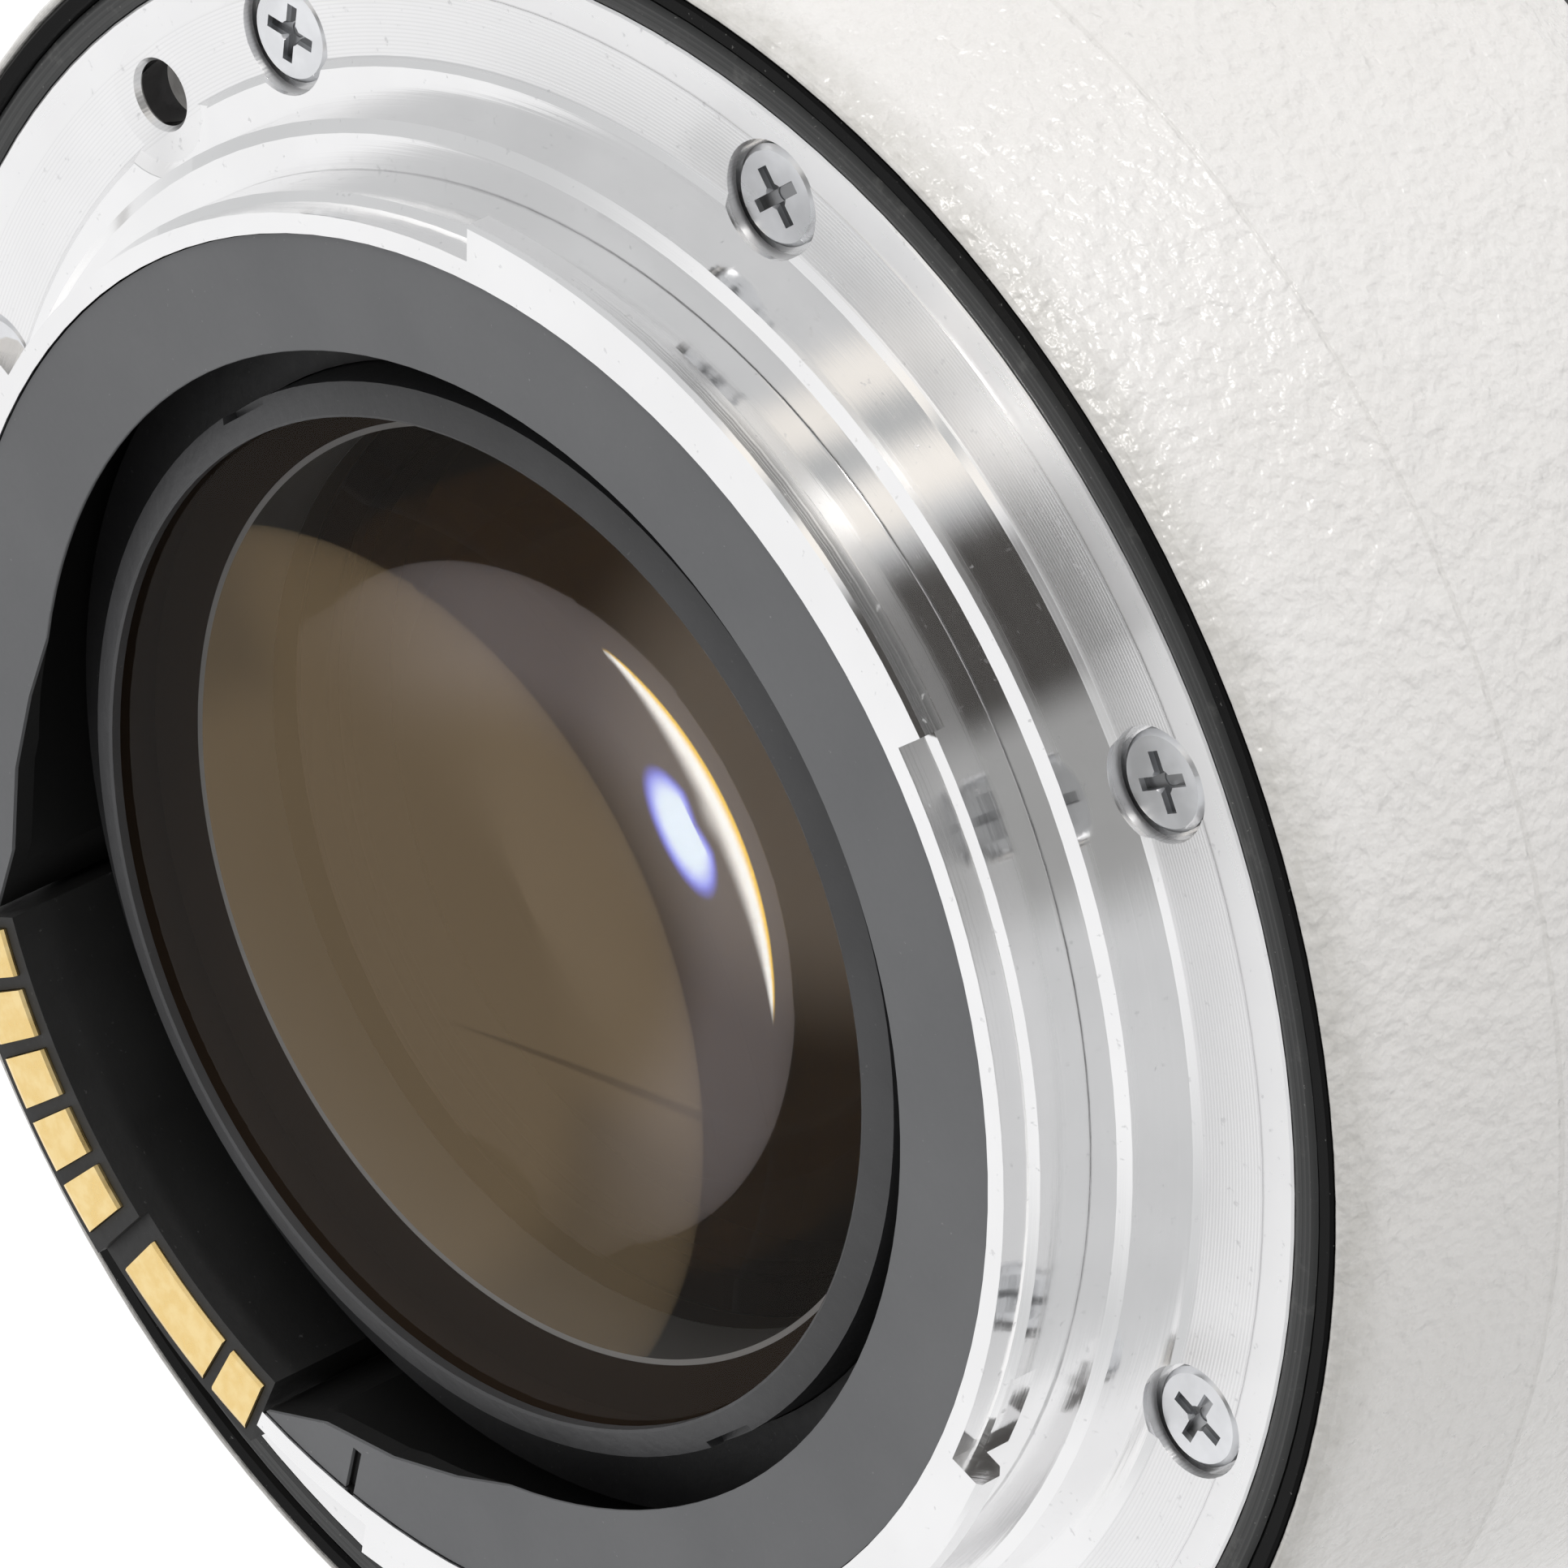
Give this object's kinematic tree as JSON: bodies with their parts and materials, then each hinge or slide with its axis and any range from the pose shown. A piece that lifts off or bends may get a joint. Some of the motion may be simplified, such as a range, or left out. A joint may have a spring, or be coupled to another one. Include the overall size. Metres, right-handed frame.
{
  "type": "camera teleconverter",
  "caption": "Camera teleconverter: off-white barrel, chromed rear bayonet with contacts round the rear glass, front bayonet with spring contacts, lock pin and release lever.",
  "frame": {"origin": "on the optical axis, in the plane of the front lens rim that the part stands on", "axes": "+Z along the optical axis to the camera side; -Y towards the viewer of the picture; the lock pin lies 5 degrees from +X towards +Y"},
  "size_m": [0.072, 0.072, 0.0531],
  "materials": {
    "chrome": "bright plated, fine turned lines",
    "screw_steel": "bright zinc",
    "gasket_rubber": "matte, dusty",
    "trim_gloss": "gloss black",
    "index_red": "gloss red",
    "barrel_paint": "off-white paint with a fine orange peel",
    "baffle_grey": "matte dark grey",
    "block_black": "matte black",
    "contact_gold": "gold plated",
    "cell_black": "matte black anodised",
    "lens_glass": "coated optical glass",
    "spring_steel": "satin steel",
    "flex_amber": "amber film",
    "board_green": "matte green",
    "lever_black": "matte black"
  },
  "bodies": {
    "body": {"rear_mount": "chrome", "front_mount": "chrome", "rear_mount_screws": "screw_steel", "front_mount_screws": "screw_steel", "optics_screws": "screw_steel", "rear_gasket": "gasket_rubber", "rear_trim_ring": "trim_gloss", "rear_index_dot": "index_red", "front_index_dot": "index_red", "barrel": "barrel_paint", "rear_baffle": "baffle_grey", "rear_contact_block": "block_black", "front_contact_block": "block_black", "front_shield": "block_black", "rear_contact_pads": "contact_gold", "rear_retaining_ring": "cell_black", "optics_barrel": "cell_black", "nose_tube": "cell_black", "spacer_ring": "cell_black", "front_retaining_ring": "cell_black", "lens_1": "lens_glass", "lens_2": "lens_glass", "lens_3": "lens_glass", "lens_4": "lens_glass", "lens_5": "lens_glass", "lens_6": "lens_glass", "lens_7": "lens_glass", "mount_springs": "spring_steel", "lock_spring": "spring_steel", "flex_cable": "flex_amber", "circuit_board": "board_green"},
    "lever": {"release_lever": "lever_black", "lever_slide": "spring_steel"},
    "lock": {"lock_pin": "spring_steel"},
    "contact_1": {"contact_pin_1": "contact_gold"},
    "contact_2": {"contact_pin_2": "contact_gold"},
    "contact_3": {"contact_pin_3": "contact_gold"},
    "contact_4": {"contact_pin_4": "contact_gold"},
    "contact_5": {"contact_pin_5": "contact_gold"},
    "contact_6": {"contact_pin_6": "contact_gold"},
    "contact_7": {"contact_pin_7": "contact_gold"},
    "contact_8": {"contact_pin_8": "contact_gold"}
  },
  "joints": [
    {"name": "release_turn", "type": "hinge", "parent": "body", "child": "lever", "pos_m": [0, 0, 0.0288], "axis": [0, 0, 1], "range_deg": [0, 8], "stiffness_Nm_per_rad": 0.3},
    {"name": "lock_slide", "type": "slide", "parent": "body", "child": "lock", "axis": [0, 0, 1], "range_m": [0, 0.0022], "deforming": ["lock_spring"]},
    {"name": "contact_slide_1", "type": "slide", "parent": "body", "child": "contact_1", "axis": [0, 0, 1], "range_m": [0, 0.001], "stiffness_N_per_m": 200},
    {"name": "contact_slide_2", "type": "slide", "parent": "body", "child": "contact_2", "axis": [0, 0, 1], "range_m": [0, 0.001], "stiffness_N_per_m": 200},
    {"name": "contact_slide_3", "type": "slide", "parent": "body", "child": "contact_3", "axis": [0, 0, 1], "range_m": [0, 0.001], "stiffness_N_per_m": 200},
    {"name": "contact_slide_4", "type": "slide", "parent": "body", "child": "contact_4", "axis": [0, 0, 1], "range_m": [0, 0.001], "stiffness_N_per_m": 200},
    {"name": "contact_slide_5", "type": "slide", "parent": "body", "child": "contact_5", "axis": [0, 0, 1], "range_m": [0, 0.001], "stiffness_N_per_m": 200},
    {"name": "contact_slide_6", "type": "slide", "parent": "body", "child": "contact_6", "axis": [0, 0, 1], "range_m": [0, 0.001], "stiffness_N_per_m": 200},
    {"name": "contact_slide_7", "type": "slide", "parent": "body", "child": "contact_7", "axis": [0, 0, 1], "range_m": [0, 0.001], "stiffness_N_per_m": 200},
    {"name": "contact_slide_8", "type": "slide", "parent": "body", "child": "contact_8", "axis": [0, 0, 1], "range_m": [0, 0.001], "stiffness_N_per_m": 200}
  ],
  "couplings": [
    {"joint": "lock_slide", "follows": "release_turn", "m_per_rad": 0.015756}
  ]
}
